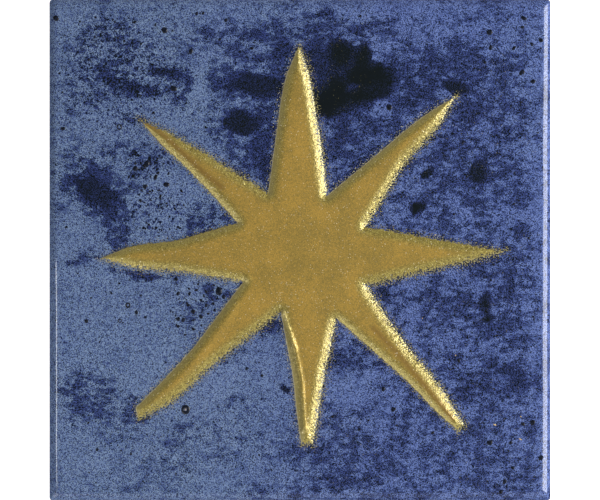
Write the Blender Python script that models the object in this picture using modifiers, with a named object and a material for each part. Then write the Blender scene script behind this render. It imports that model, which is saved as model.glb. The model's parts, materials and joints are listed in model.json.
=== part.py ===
"""Decorative wall tile: one square of pressed and fired clay, with a rounded face edge, keying grooves
in its back and an eight-pointed star that stands up from its face.

The tile lies on its back. The origin is the middle of the back, +Z points out of the face, and +X and
+Y are right and up as the tile hangs on a wall. Lengths are in metres.
"""

import bmesh
import bpy
from mathutils import Vector

MM = 0.001

# The pressed square
SIDE = 100 * MM
THICKNESS = 7.5 * MM
CORNER_RADIUS = 0.6 * MM
FACE_EDGE_RADIUS = 1.5 * MM
BACK_EDGE_CHAMFER = 0.4 * MM
ROUND_SEGMENTS = 5

# The keying grooves of the back, which run up and down between a plain border
GROOVE_COUNT = 12
GROOVE_PITCH = 8 * MM
GROOVE_WIDTH = 4 * MM
GROOVE_LENGTH = 92 * MM
GROOVE_DEPTH = 0.8 * MM
GROOVE_DRAFT = 0.4 * MM

# The star's relief: how deep its root is sunk in the square, how high its wall stands straight up from
# the face, and the steps of its rounded shoulder, each as (inwards, upwards)
STAR_ROOT = 1 * MM
STAR_WALL = 0.15 * MM
STAR_SHOULDER = (
    (0.25 * MM, 0.35 * MM),
    (0.30 * MM, 0.25 * MM),
    (0.35 * MM, 0.15 * MM),
)

# The star's outline on the face, in millimetres from the middle, clockwise from the arm that points up.
# The arms were drawn by hand, and no two are alike. Each runs up its first side, round its tip, which is
# sharp or a short blunt edge, and down its second side to the notch that parts it from the next arm.
STAR_ARMS = (
    ((-4.8, 24.0), (-2.8, 35.3), (-0.4, 40.8), (1.8, 35.6), (3.8, 23.0), (5.3, 11.0)),
    ((15.2, 19.2), (26.1, 27.9), (30.9, 30.8), (28.2, 26.2), (20.6, 17.2), (13.0, 4.8)),
    ((27.2, 2.3), (35.0, 0.9), (40.7, 0.0), (34.8, -1.8), (24.8, -4.2), (13.0, -7.0)),
    ((20.8, -19.2), (28.4, -28.5), (32.6, -34.8), (31.2, -36.0), (28.2, -33.4), (20.6, -25.5), (7.3, -14.0)),
    ((4.8, -25.5), (3.6, -32.8), (2.3, -38.6), (0.1, -38.7), (-0.8, -33.0), (-1.7, -24.6), (-4.0, -12.4)),
    ((-16.8, -22.2), (-26.4, -30.6), (-32.4, -33.6), (-33.0, -31.4), (-28.6, -27.0), (-20.8, -18.6),
     (-11.6, -6.4)),
    ((-22.8, -4.5), (-34.4, -3.2), (-40.0, -1.6), (-34.7, 0.6), (-24.0, 2.2), (-12.7, 5.5)),
    ((-21.4, 15.2), (-27.0, 20.4), (-32.5, 26.4), (-26.4, 23.4), (-18.8, 19.2), (-6.5, 11.6)),
)

GLAZE_BLUE = (0.072, 0.105, 0.300, 1.0)
GLAZE_ROUGHNESS = 0.12


def clear_scene():
    for found in list(bpy.data.objects):
        bpy.data.objects.remove(found, do_unlink=True)


def new_collection(name):
    collection = bpy.data.collections.new(name)
    bpy.context.scene.collection.children.link(collection)
    return collection


def move_to(collection, thing):
    for holder in list(thing.users_collection):
        holder.objects.unlink(thing)
    collection.objects.link(thing)


def glaze():
    """The blue glaze that covers the face."""
    material = bpy.data.materials.new("cobalt_glaze")
    material.use_nodes = True
    shader = material.node_tree.nodes["Principled BSDF"]
    shader.inputs["Base Color"].default_value = GLAZE_BLUE
    shader.inputs["Roughness"].default_value = GLAZE_ROUGHNESS
    shader.inputs["Metallic"].default_value = 0.0
    return material


def edges_where(bm, keep):
    """The edges of bm whose two ends and middle all pass keep."""
    found = []
    for edge in bm.edges:
        start, end = (vertex.co for vertex in edge.verts)
        if keep(start) and keep(end) and keep((start + end) / 2):
            found.append(edge)
    return found


def is_at_corner(place):
    """True on the upright planes through the square's diagonals, where only its corner edges lie."""
    return abs(abs(place.x) - abs(place.y)) < MM / 1000


def pressed_square(parts):
    """The plain square, with a rounded face edge, a chamfered back edge, and corners slightly rounded
    all the way up and over the face edge."""
    bpy.ops.mesh.primitive_cube_add(size=1, location=(0, 0, THICKNESS / 2))
    square = bpy.context.object
    square.name = "tile"
    square.scale = (SIDE, SIDE, THICKNESS)
    bpy.ops.object.transform_apply(location=True, scale=True)
    move_to(parts, square)

    bm = bmesh.new()
    bm.from_mesh(square.data)
    face_edge = edges_where(bm, lambda place: place.z > THICKNESS * 0.99)
    bmesh.ops.bevel(
        bm, geom=face_edge, offset=FACE_EDGE_RADIUS, segments=ROUND_SEGMENTS, profile=0.5, affect="EDGES"
    )
    back_edge = edges_where(bm, lambda place: place.z < THICKNESS * 0.01)
    bmesh.ops.bevel(bm, geom=back_edge, offset=BACK_EDGE_CHAMFER, segments=1, affect="EDGES")
    corners = edges_where(bm, is_at_corner)
    bmesh.ops.bevel(
        bm, geom=corners, offset=CORNER_RADIUS, segments=ROUND_SEGMENTS - 2, profile=0.5, affect="EDGES"
    )
    bm.to_mesh(square.data)
    bm.free()
    return square


def groove_cutter(cutters):
    """One keying groove's cutter, repeated across the back. It is narrower at its bottom, so that the
    pressed tile leaves its die."""
    overshoot = GROOVE_DEPTH
    bpy.ops.mesh.primitive_cube_add(size=1)
    cutter = bpy.context.object
    cutter.name = "keying_grooves"
    cutter.scale = (GROOVE_WIDTH, GROOVE_LENGTH, GROOVE_DEPTH + overshoot)
    bpy.ops.object.transform_apply(scale=True)
    for corner in cutter.data.vertices:
        if corner.co.z > 0:
            corner.co.x -= GROOVE_DRAFT if corner.co.x > 0 else -GROOVE_DRAFT
            corner.co.y -= GROOVE_DRAFT if corner.co.y > 0 else -GROOVE_DRAFT
    across = GROOVE_PITCH * (GROOVE_COUNT - 1)
    cutter.location = (-across / 2, 0, (GROOVE_DEPTH - overshoot) / 2)
    row = cutter.modifiers.new("row", "ARRAY")
    row.count = GROOVE_COUNT
    row.use_relative_offset = False
    row.use_constant_offset = True
    row.constant_offset_displace = (GROOVE_PITCH, 0, 0)
    move_to(cutters, cutter)
    cutter.hide_render = True
    cutter.display_type = "WIRE"
    return cutter


def star_outline():
    """The star's closed outline as a filled 2D curve, as thick as its root and its straight wall."""
    curve = bpy.data.curves.new("star_outline", "CURVE")
    curve.dimensions = "2D"
    curve.fill_mode = "BOTH"
    curve.extrude = (STAR_ROOT + STAR_WALL) / 2
    places = [place for arm in STAR_ARMS for place in arm]
    spline = curve.splines.new("POLY")
    spline.points.add(len(places) - 1)
    for point, (across, up) in zip(spline.points, places):
        point.co = (across * MM, up * MM, 0, 1)
    spline.use_cyclic_u = True
    outline = bpy.data.objects.new("star_outline", curve)
    outline.location = (0, 0, THICKNESS + (STAR_WALL - STAR_ROOT) / 2)
    bpy.context.scene.collection.objects.link(outline)
    bpy.context.view_layer.update()
    return outline


def star_relief(cutters):
    """The star as a solid: its outline made a mesh, then its top inset and raised in steps, which
    rounds its shoulder and lets each arm run out in a narrow ridge."""
    outline = star_outline()
    depsgraph = bpy.context.evaluated_depsgraph_get()
    mesh = bpy.data.meshes.new_from_object(outline.evaluated_get(depsgraph))
    relief = bpy.data.objects.new("star_relief", mesh)
    relief.matrix_world = outline.matrix_world.copy()
    bpy.data.objects.remove(outline, do_unlink=True)

    bm = bmesh.new()
    bm.from_mesh(mesh)
    bmesh.ops.remove_doubles(bm, verts=bm.verts, dist=MM / 1000)
    bmesh.ops.recalc_face_normals(bm, faces=bm.faces)
    up = Vector((0, 0, 1))
    top = [face for face in bm.faces if face.normal.dot(up) > 0.9]
    for inwards, upwards in STAR_SHOULDER:
        bmesh.ops.inset_region(bm, faces=top, thickness=inwards, depth=0, use_even_offset=True)
        bmesh.ops.translate(bm, verts=list({v for face in top for v in face.verts}), vec=up * upwards)
    bm.to_mesh(mesh)
    bm.free()

    cutters.objects.link(relief)
    relief.hide_render = True
    relief.display_type = "WIRE"
    return relief


def combine(body, other, operation, label):
    """A Boolean of body with other, kept as a modifier on body."""
    change = body.modifiers.new(label, "BOOLEAN")
    change.operation = operation
    change.solver = "EXACT"
    change.object = other


def build():
    clear_scene()
    parts = new_collection("decorative_wall_tile")
    cutters = new_collection("cutters_and_guides")
    tile = pressed_square(parts)
    combine(tile, groove_cutter(cutters), "DIFFERENCE", "keying grooves")
    combine(tile, star_relief(cutters), "UNION", "star relief")
    tile.data.materials.clear()
    tile.data.materials.append(glaze())


build()
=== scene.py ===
"""The looks of the decorative wall tile: its bare clay body, its blue glaze with the gold star in relief,
the iron specks and pinholes of the firing, and the stray flecks of gold.

The script's unit is the metre. Sizes are given in millimetres, times MM. The tile lies on its back, with
its face up: +X is right and +Y is up as it hangs on a wall.
"""

import json
import math
import random

import bmesh
import bpy
import numpy as np
from mathutils import Euler, Matrix, Vector, noise

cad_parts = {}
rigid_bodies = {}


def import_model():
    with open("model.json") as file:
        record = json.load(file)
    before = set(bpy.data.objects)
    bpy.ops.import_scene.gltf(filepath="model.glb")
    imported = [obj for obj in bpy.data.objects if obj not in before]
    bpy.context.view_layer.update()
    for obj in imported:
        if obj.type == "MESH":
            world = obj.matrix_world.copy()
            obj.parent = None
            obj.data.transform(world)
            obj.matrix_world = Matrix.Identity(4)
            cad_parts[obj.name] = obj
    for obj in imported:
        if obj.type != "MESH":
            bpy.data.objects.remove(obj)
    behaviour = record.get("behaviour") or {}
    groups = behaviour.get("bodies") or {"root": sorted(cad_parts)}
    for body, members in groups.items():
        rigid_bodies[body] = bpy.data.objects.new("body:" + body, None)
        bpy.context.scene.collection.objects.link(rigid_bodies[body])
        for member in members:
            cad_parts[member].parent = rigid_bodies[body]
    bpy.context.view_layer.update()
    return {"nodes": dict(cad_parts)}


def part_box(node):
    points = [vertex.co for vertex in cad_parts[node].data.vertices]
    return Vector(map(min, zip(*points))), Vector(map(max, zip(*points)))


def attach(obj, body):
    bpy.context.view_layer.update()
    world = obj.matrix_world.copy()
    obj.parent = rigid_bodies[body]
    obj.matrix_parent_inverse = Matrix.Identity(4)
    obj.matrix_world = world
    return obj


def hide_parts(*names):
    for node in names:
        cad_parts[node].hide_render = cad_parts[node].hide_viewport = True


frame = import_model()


# The fired clay body. Pale earthenware, pressed dry in a steel die, which left the keying grooves in its
# back, and fired once before it was glazed. It is bare on its back and on the lower part of its sides.

MM = 0.001
GLAZE_SEAT = 5.6 * MM        # the body is cut here, inside the glazed face that covers it
DIE_WEAR = 0.15 * MM         # how far the die's sharp edges are rounded in the pressed clay
SAME_PLACE = 0.01 * MM       # corners closer than this are one corner
CLAY_CLOUD = 14              # mm, the fire's paler and darker patches
CLAY_GRIT = 0.35             # mm, the sand in the clay


def work_on(thing):
    """Leaves this object alone selected and active."""
    for other in bpy.context.view_layer.objects:
        other.select_set(other == thing)
    bpy.context.view_layer.objects.active = thing


def choose(thing, elements, keep):
    """In edit mode, selects the mesh's "edges" or "faces" that pass keep, and nothing else."""
    mesh = bmesh.from_edit_mesh(thing.data)
    bpy.ops.mesh.select_all(action="DESELECT")
    for element in getattr(mesh, elements):
        if keep(element):
            element.select_set(True)
    mesh.select_flush_mode()
    bmesh.update_edit_mesh(thing.data)


def linear(hex_colour):
    """An sRGB hex colour as linear red, green, blue and alpha."""
    channels = [int(hex_colour[start:start + 2], 16) / 255 for start in (1, 3, 5)]
    return [c / 12.92 if c <= 0.04045 else ((c + 0.055) / 1.055) ** 2.4 for c in channels] + [1.0]


def set_stops(bar, stops):
    """Gives a colour ramp its stops, each as (position, hex colour)."""
    while len(bar.elements) < len(stops):
        bar.elements.new(0.5)
    for element, (position, hex_colour) in zip(bar.elements, stops):
        element.position = position
    for element, (position, hex_colour) in zip(bar.elements, stops):
        element.color = linear(hex_colour)


def fill_sockets(tree, node, sockets):
    """Gives each socket a value, an output, or the first output in use of another node."""
    for key, value in sockets.items():
        if isinstance(value, bpy.types.Node):
            value = [output for output in value.outputs if output.enabled][0]
        if isinstance(value, bpy.types.NodeSocket):
            tree.links.new(value, node.inputs[key])
        else:
            node.inputs[key].default_value = value


def add_node(tree, kind, settings, sockets):
    """Adds one shader node with its settings, of which "stops" are a colour ramp's, and its sockets."""
    made = tree.nodes.new("ShaderNode" + kind)
    for name, value in settings.items():
        if name == "stops":
            set_stops(made.color_ramp, value)
        else:
            setattr(made, name, value)
    fill_sockets(tree, made, sockets)
    return made


def new_material(name):
    """A material with one Principled BSDF, and a node that gives the piece's own coordinates in mm."""
    made = bpy.data.materials.new(name)
    made.use_nodes = True
    tree = made.node_tree
    shader = tree.nodes["Principled BSDF"]
    coordinates = add_node(tree, "TexCoord", {}, {}).outputs["Object"]
    in_mm = add_node(tree, "Mapping", {}, {"Vector": coordinates, "Scale": (1 / MM, 1 / MM, 1 / MM)})
    return made, tree, shader, in_mm


tile_low, tile_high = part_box("tile")
clay_mesh = frame["nodes"]["tile"].data.copy()
clay_mesh.materials.clear()
clay = bpy.data.objects.new("fired_clay_body", clay_mesh)
bpy.context.scene.collection.objects.link(clay)
work_on(clay)
bpy.ops.object.mode_set(mode="EDIT")
bpy.ops.mesh.select_all(action="SELECT")
bpy.ops.mesh.remove_doubles(threshold=SAME_PLACE)
bpy.ops.mesh.bisect(plane_co=(0, 0, GLAZE_SEAT), plane_no=(0, 0, 1), use_fill=True, clear_outer=True)
bpy.ops.mesh.select_all(action="SELECT")
bpy.ops.mesh.dissolve_limited(angle_limit=math.radians(1))
bpy.ops.object.mode_set(mode="OBJECT")
wear = clay.modifiers.new("die wear", "BEVEL")
wear.width = DIE_WEAR
wear.segments = 2
wear.limit_method = "ANGLE"
wear.angle_limit = math.radians(40)
bpy.ops.object.modifier_apply(modifier=wear.name)
bpy.ops.object.shade_smooth_by_angle(angle=math.radians(35))

# Biscuit: earthenware pressed from dry powder and fired once. It gives a dry, chalky grey-buff with a fine
# sandy grain, paler and darker in patches.
biscuit, tree, shader, place = new_material("white_earthenware_biscuit")
cloud = add_node(tree, "TexNoise", {}, {"Vector": place, "Scale": 1 / CLAY_CLOUD, "Detail": 4.0})
grit = add_node(tree, "TexNoise", {}, {
    "Vector": place, "Scale": 1 / CLAY_GRIT, "Detail": 3.0, "Roughness": 0.7,
})
tone = add_node(tree, "Mix", {"data_type": "FLOAT"}, {"Factor": 0.35, "A": cloud, "B": grit})
buff = add_node(tree, "ValToRGB", {"stops": ((0.30, "#8F7B66"), (0.50, "#A8937B"), (0.70, "#BDAB94"))}, {
    "Fac": tone,
})
dry = add_node(tree, "MapRange", {}, {"Value": grit, "To Min": 0.78, "To Max": 0.95})
sand = add_node(tree, "Bump", {}, {"Height": grit, "Strength": 0.6, "Distance": 0.05 * MM})
fill_sockets(tree, shader, {"Base Color": buff, "Roughness": dry, "Normal": sand, "IOR": 1.5})
clay.data.materials.append(biscuit)
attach(clay, "root")


# The glazed face. One coat of blue glaze runs over the face and its rounded edge and stops unevenly on the
# sides, where it was wiped. The star is the same clay in relief under it, painted with gold and fired again.

STAR_HEIGHT = 0.9 * MM
FACE_LEVEL = tile_high.z - STAR_HEIGHT
HALF_SIDE = tile_high.x
STAR_REACH = 45 * MM         # the star's outline lies within this, and the tile's own edges outside it
FLAT_HALF = 47.4 * MM        # half the flat part of the face, inside the rounded edge
GRID_CELLS = 116
WHOLE_STAR = (-1.6 * MM, 99 * MM)  # its cells are halved between these distances inside the outline
SHOULDER_BAND = (-0.7 * MM, 2.6 * MM)  # and once more between these
EDGE_STEPS = 9
EDGE_RADIUS = 1.7 * MM
CORNER_RADIUS = 0.6 * MM
FACE_HOLLOW = 0.02 * MM      # how far the face is from flat
SHOULDER = 2.6 * MM          # how far in the star's rounded shoulder reaches
SHOULDER_RISE = 0.80 * MM
SHOULDER_CURVE = 2.1         # 1 is a straight slope, and more is steeper at the border
CROWN_WIDTH = 5 * MM         # past its shoulder the star goes on swelling gently over about this width
FOOT = 0.3 * MM              # the star's root swells out of the face over this width
FOOT_RISE = 0.10 * MM
BEADS = (
    # where the gold pooled at the star's notches, as (x, y, radius, height) in mm
    (-10.5, -5.7, 0.7, 0.22), (12.2, 4.9, 0.6, 0.16), (12.6, -7.2, 0.6, 0.16), (-3.8, -12.8, 0.8, 0.2),
)
CREASES = (
    # where the arms were creased in modelling: points along the crease, half width and height, in mm
    (((-3.5, -12.4), (-1.1, -19.3), (0.3, -26.1), (0.8, -35.8)), 0.50, 0.24),
    (((-3.6, -12.6), (-2.3, -16.2), (-1.3, -19.2)), 0.70, 0.14),
    (((-13.0, -11.0), (-17.4, -17.6), (-23.0, -24.2), (-28.5, -29.2)), 0.90, 0.12),
)
BORDER_SWINGS = (
    # where the gold's border passes the pressed outline or falls short: (x, y, radius, outwards) in mm
    (2.4, 33.5, 4, -0.38), (3.4, 27.5, 4, -0.3), (24, 20.6, 3.5, 0.3), (27.5, 25, 2.5, 0.2),
    (20.5, -18.5, 3.5, 0.3), (24.6, -23.4, 3.5, 0.42), (28, -27.8, 2.5, 0.2), (6, -17, 3, -0.3),
    (4.8, -23.5, 3.5, -0.32), (3.4, -31, 3, -0.25), (-27, 22.6, 4, 0.22), (-20, 16.5, 4, 0.22),
)
SIDE_SECTION = (
    # the coat down the sides, its bead at the wiped line and its end tucked in: (outwards, height) in mm
    (0.01, 5), (0.02, 4.2), (0.06, 3.55), (0.06, 3.32), (-0.02, 3.2), (-0.6, 3.3), (-2, 5.3),
)
WIPED_BELOW = 4 * MM         # the coat's end wavers below this height, within WIPED_BAND of the side
WIPED_BAND = 1 * MM
WIPE_SWING = 0.7 * MM
SHARP_TURN = 45              # degrees; into a corner that turns more than this the outline runs straight


def star_corners():
    """The corners of the star's outline, where its wall meets the face of the CAD tile, in order."""
    found = set()
    for vertex in frame["nodes"]["tile"].data.vertices:
        x, y, z = vertex.co
        if abs(z - FACE_LEVEL) < SAME_PLACE and max(abs(x), abs(y)) < STAR_REACH:
            found.add((round(x, 5), round(y, 5)))
    return sorted(found, key=lambda corner: math.atan2(corner[1], corner[0]))


def turn_at(before, corner, after):
    """How sharply the outline turns at a corner, in degrees."""
    way_in = Vector(corner) - Vector(before)
    way_out = Vector(after) - Vector(corner)
    return math.degrees(way_in.angle(way_out))


# the outline as a curve: it runs straight into the points, blunt tips and notches, and smoothly between
corners = star_corners()
count = len(corners)
outline_curve = bpy.data.curves.new("star_outline", "CURVE")
outline_curve.dimensions = "2D"
outline_curve.fill_mode = "NONE"
outline_curve.resolution_u = 7
spline = outline_curve.splines.new("BEZIER")
spline.bezier_points.add(count - 1)
spline.use_cyclic_u = True
sharp = [turn_at(corners[n - 1], corners[n], corners[(n + 1) % count]) > SHARP_TURN for n in range(count)]
for number, point in enumerate(spline.bezier_points):
    point.co = (*corners[number], 0)
    point.handle_left_type = "VECTOR" if sharp[number] or sharp[number - 1] else "AUTO"
    point.handle_right_type = "VECTOR" if sharp[number] or sharp[(number + 1) % count] else "AUTO"
guide = bpy.data.objects.new("star_outline", outline_curve)
bpy.context.scene.collection.objects.link(guide)
work_on(guide)
bpy.ops.object.convert(target="MESH")
outline = np.array([vertex.co[:2] for vertex in guide.data.vertices])
bpy.data.objects.remove(guide)


def inside_star(places):
    """How far each (x, y) lies inside the star's outline, in metres, and below zero outside it."""
    along = np.roll(outline, -1, axis=0) - outline
    nearest = np.full(len(places), np.inf)
    crossings = np.zeros(len(places), int)
    for (x, y), (dx, dy) in zip(outline, along):
        share = ((places[:, 0] - x) * dx + (places[:, 1] - y) * dy) / (dx * dx + dy * dy)
        share = np.clip(share, 0, 1)
        gap = np.hypot(places[:, 0] - x - share * dx, places[:, 1] - y - share * dy)
        nearest = np.minimum(nearest, gap)
        spans = (y > places[:, 1]) != (y + dy > places[:, 1])
        reach = x + (places[:, 1] - y) / (dy if dy else 1e-12) * dx
        crossings += spans & (places[:, 0] < reach)
    return np.where(crossings % 2 == 1, nearest, -nearest)


def star_depth_at(places):
    """How far each (x, y) lies inside the painted star's own border, in metres."""
    depth = inside_star(places)
    for x, y, radius, outwards in BORDER_SWINGS:
        away = np.hypot(places[:, 0] - x * MM, places[:, 1] - y * MM) / (radius * MM)
        depth += outwards * MM * np.exp(-away * away)
    return depth


def divide_near_star(thing, outermost, innermost):
    """In edit mode, halves the cells between these two distances inside the star's outline."""
    mesh = bmesh.from_edit_mesh(thing.data)
    middles = np.array([face.calc_center_median()[:2] for face in mesh.faces])
    depth = inside_star(middles)
    wanted = (depth > outermost) & (depth < innermost)
    choose(thing, "faces", lambda face: wanted[face.index])
    bpy.ops.mesh.subdivide(number_cuts=1)


bpy.ops.object.select_all(action="DESELECT")
bpy.ops.mesh.primitive_grid_add(
    x_subdivisions=GRID_CELLS, y_subdivisions=GRID_CELLS, size=2 * FLAT_HALF, location=(0, 0, FACE_LEVEL)
)
face = bpy.context.object
face.name = "glazed_face"
bpy.ops.object.transform_apply(location=True)
bpy.ops.object.mode_set(mode="EDIT")
divide_near_star(face, *WHOLE_STAR)
divide_near_star(face, *SHOULDER_BAND)

# the coat goes round the edge in steps, down the sides, and is tucked in and closed inside the body
choose(face, "edges", lambda edge: edge.is_boundary)
rings = []
for step in range(EDGE_STEPS + 1):
    turn = math.radians(90) * step / EDGE_STEPS
    ring_half = HALF_SIDE - EDGE_RADIUS * (1 - math.sin(turn))
    rings.append((ring_half, FACE_LEVEL - EDGE_RADIUS * (1 - math.cos(turn))))
for outwards, height in SIDE_SECTION:
    rings.append((HALF_SIDE + outwards * MM, height * MM))
half = FLAT_HALF
level = FACE_LEVEL
for ring_half, ring_level in rings:
    bpy.ops.mesh.extrude_edges_move(TRANSFORM_OT_translate={"value": (0, 0, ring_level - level)})
    bpy.ops.transform.resize(value=(ring_half / half, ring_half / half, 1), center_override=(0, 0, 0))
    half = ring_half
    level = ring_level
bpy.ops.mesh.edge_face_add()
bpy.ops.object.mode_set(mode="OBJECT")


def waver(x, y, size, seed):
    """Smooth noise from about -1 to 1, with swells of this size, the same each time."""
    return noise.noise(Vector((x / size, y / size, seed)))


def away_from_line(places, line):
    """How far each (x, y) in places lies from a line through these points, in mm."""
    nearest = np.full(len(places), np.inf)
    for start, end in zip(np.array(line), np.array(line)[1:]):
        along = end - start
        share = np.clip((places - start) @ along / (along @ along), 0, 1)
        nearest = np.minimum(nearest, np.linalg.norm(places - start - share[:, None] * along, axis=1))
    return nearest


def star_rise(places):
    """How far the star, with its beads and creases, stands up from the face at each (x, y), in metres."""
    depth = star_depth_at(places)
    inwards = np.clip(depth / SHOULDER, 0, 1)
    shoulder = FOOT_RISE + (SHOULDER_RISE - FOOT_RISE) * (1 - (1 - inwards) ** SHOULDER_CURVE)
    crown = (STAR_HEIGHT - SHOULDER_RISE) * (1 - np.exp(-np.clip(depth, 0, None) / CROWN_WIDTH))
    foot = FOOT_RISE * np.clip(1 + depth / FOOT, 0, 1) ** 2
    rise = np.where(depth > 0, shoulder + crown, foot)
    for x, y, radius, height in BEADS:
        away = np.hypot(places[:, 0] - x * MM, places[:, 1] - y * MM) / (radius * MM)
        rise += height * MM * np.exp(-away * away)
    for line, half_width, height in CREASES:
        away = away_from_line(places / MM, line) / half_width
        rise += height * MM * np.exp(-away * away)
    return rise


def round_edge(vertex):
    """Lets the rounding's width waver. It is wider to the lower right, where the glaze lay thicker."""
    x, y, z = vertex.co
    reach = max(abs(x), abs(y))
    lower_right = 0.5 + 0.5 * (x - y) / (2 * HALF_SIDE)
    wider = 0.85 + 0.45 * lower_right + 0.10 * waver(x, y, 11 * MM, 5)
    inwards = min((HALF_SIDE - reach) * wider, HALF_SIDE - FLAT_HALF)
    factor = (HALF_SIDE - inwards) / reach
    vertex.co.x = x * factor
    vertex.co.y = y * factor
    if z > FACE_LEVEL - EDGE_RADIUS:
        vertex.co.z = FACE_LEVEL - (FACE_LEVEL - z) * wider


def shape_coat(thing):
    """Raises the star, and lets the face, the edge's rounding and the wiped line waver as by hand."""
    places = np.array([vertex.co[:2] for vertex in thing.data.vertices])
    for vertex, rise in zip(thing.data.vertices, star_rise(places)):
        x, y, z = vertex.co
        reach = max(abs(x), abs(y))
        if reach < FLAT_HALF + SAME_PLACE:
            hollow = FACE_HOLLOW * waver(x, y, 14 * MM, 3)
            vertex.co.z = z + rise + (min(hollow, 0) if rise < FOOT_RISE else 0)
        elif z < WIPED_BELOW and reach > HALF_SIDE - WIPED_BAND:
            vertex.co.z = z + WIPE_SWING * (waver(x, y, 13 * MM, 7) + 0.5 * waver(x, y, 4 * MM, 8))
        elif z > FACE_LEVEL - EDGE_RADIUS - SAME_PLACE:
            round_edge(vertex)


def on_corner(edge):
    """True for the edges that run over and down the square's four corners."""
    return all(
        abs(abs(vertex.co.x) - abs(vertex.co.y)) < SAME_PLACE and abs(vertex.co.x) > FLAT_HALF - SAME_PLACE
        for vertex in edge.verts
    )


shape_coat(face)
work_on(face)
bpy.ops.object.mode_set(mode="EDIT")
choose(face, "edges", on_corner)
bpy.ops.mesh.bevel(offset=CORNER_RADIUS, segments=4, affect="EDGES", clamp_overlap=True)
bpy.ops.mesh.select_all(action="SELECT")
bpy.ops.mesh.normals_make_consistent(inside=False)
bpy.ops.object.mode_set(mode="OBJECT")
bpy.ops.object.shade_smooth()

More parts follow.
